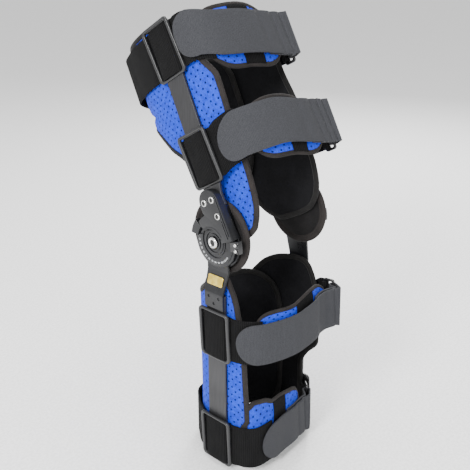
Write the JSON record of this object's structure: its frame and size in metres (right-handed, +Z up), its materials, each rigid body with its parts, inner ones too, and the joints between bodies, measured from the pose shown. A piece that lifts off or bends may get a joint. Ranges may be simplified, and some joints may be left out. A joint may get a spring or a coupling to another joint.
{
  "type": "hinged knee immobilizer",
  "caption": "Knee brace with padded thigh and calf wraps, side bars joined by hinges with angle dials, and wide straps that pass through guides and turn round rings at the front.",
  "frame": {"origin": "middle of the knee, on the axis that both hinges share", "axes": "+Z up the leg, -Y to the front of the leg, -X to the outer side, +X to the inner side; the thigh leans back 29 degrees and the calf 2 degrees, so the knee is bent 27 degrees at rest"},
  "size_m": [0.1514, 0.2594, 0.4904],
  "materials": {
    "foam": "perforated foam",
    "webbing": "brushed loop webbing",
    "elastic": "woven",
    "padding": "soft",
    "bar": "satin",
    "plastic": "satin",
    "guide": "satin",
    "steel": "polished",
    "gold": "satin"
  },
  "bodies": {
    "thigh_side": {"thigh_wrap_outer": "foam", "thigh_wrap_inner": "foam", "loop_strap_upper_thigh": "elastic", "front_strap_upper_thigh": "webbing", "strap_pad_upper_thigh": "foam", "strap_ring_upper_thigh": "guide", "loop_strap_lower_thigh": "elastic", "ring_strap_lower_thigh": "elastic", "front_strap_lower_thigh": "webbing", "strap_pad_lower_thigh": "foam", "strap_ring_lower_thigh": "guide", "thigh_bar_outer": "bar", "hinge_upper_arm_outer": "plastic", "hinge_pivot_outer": "steel", "arm_rivet_back_outer": "steel", "arm_rivet_front_outer": "steel", "arm_rivet_low_outer": "steel", "hinge_pad_outer": "padding", "strap_guide_upper_thigh_outer": "guide", "strap_guide_lower_thigh_outer": "guide", "thigh_bar_inner": "bar", "hinge_upper_arm_inner": "plastic", "hinge_pivot_inner": "steel", "arm_rivet_back_inner": "steel", "arm_rivet_front_inner": "steel", "arm_rivet_low_inner": "steel", "hinge_pad_inner": "padding", "strap_guide_upper_thigh_inner": "guide", "strap_guide_lower_thigh_inner": "guide"},
    "flexion_clip_outer": {"flexion_stop_outer": "plastic"},
    "extension_clip_outer": {"extension_stop_outer": "plastic"},
    "flexion_clip_inner": {"flexion_stop_inner": "plastic"},
    "extension_clip_inner": {"extension_stop_inner": "plastic"},
    "calf_side": {"calf_wrap_outer": "foam", "calf_wrap_inner": "foam", "loop_strap_upper_calf": "elastic", "ring_strap_upper_calf": "elastic", "front_strap_upper_calf": "webbing", "strap_pad_upper_calf": "foam", "strap_ring_upper_calf": "guide", "loop_strap_lower_calf": "elastic", "front_strap_lower_calf": "webbing", "strap_pad_lower_calf": "foam", "strap_ring_lower_calf": "guide", "label_plate": "gold", "calf_bar_outer": "bar", "hinge_lower_arm_outer": "plastic", "hinge_dial_outer": "plastic", "strap_guide_upper_calf_outer": "guide", "strap_guide_lower_calf_outer": "guide", "calf_bar_inner": "bar", "hinge_lower_arm_inner": "plastic", "hinge_dial_inner": "plastic", "strap_guide_upper_calf_inner": "guide", "strap_guide_lower_calf_inner": "guide"}
  },
  "joints": [
    {"name": "knee_flex", "type": "hinge", "parent": "thigh_side", "child": "calf_side", "pos_m": [0, 0, 0], "axis": [1, 0, 0], "range_deg": [-27.4, 62.6]},
    {"name": "flexion_stop_outer_turn", "type": "hinge", "parent": "thigh_side", "child": "flexion_clip_outer", "pos_m": [0, 0, 0], "axis": [1, 0, 0], "range_deg": [-60, 0]},
    {"name": "flexion_stop_inner_turn", "type": "hinge", "parent": "thigh_side", "child": "flexion_clip_inner", "pos_m": [0, 0, 0], "axis": [1, 0, 0], "range_deg": [-60, 0]},
    {"name": "extension_stop_outer_turn", "type": "hinge", "parent": "thigh_side", "child": "extension_clip_outer", "pos_m": [0, 0, 0], "axis": [1, 0, 0], "range_deg": [0, 28]},
    {"name": "extension_stop_inner_turn", "type": "hinge", "parent": "thigh_side", "child": "extension_clip_inner", "pos_m": [0, 0, 0], "axis": [1, 0, 0], "range_deg": [0, 28]}
  ]
}
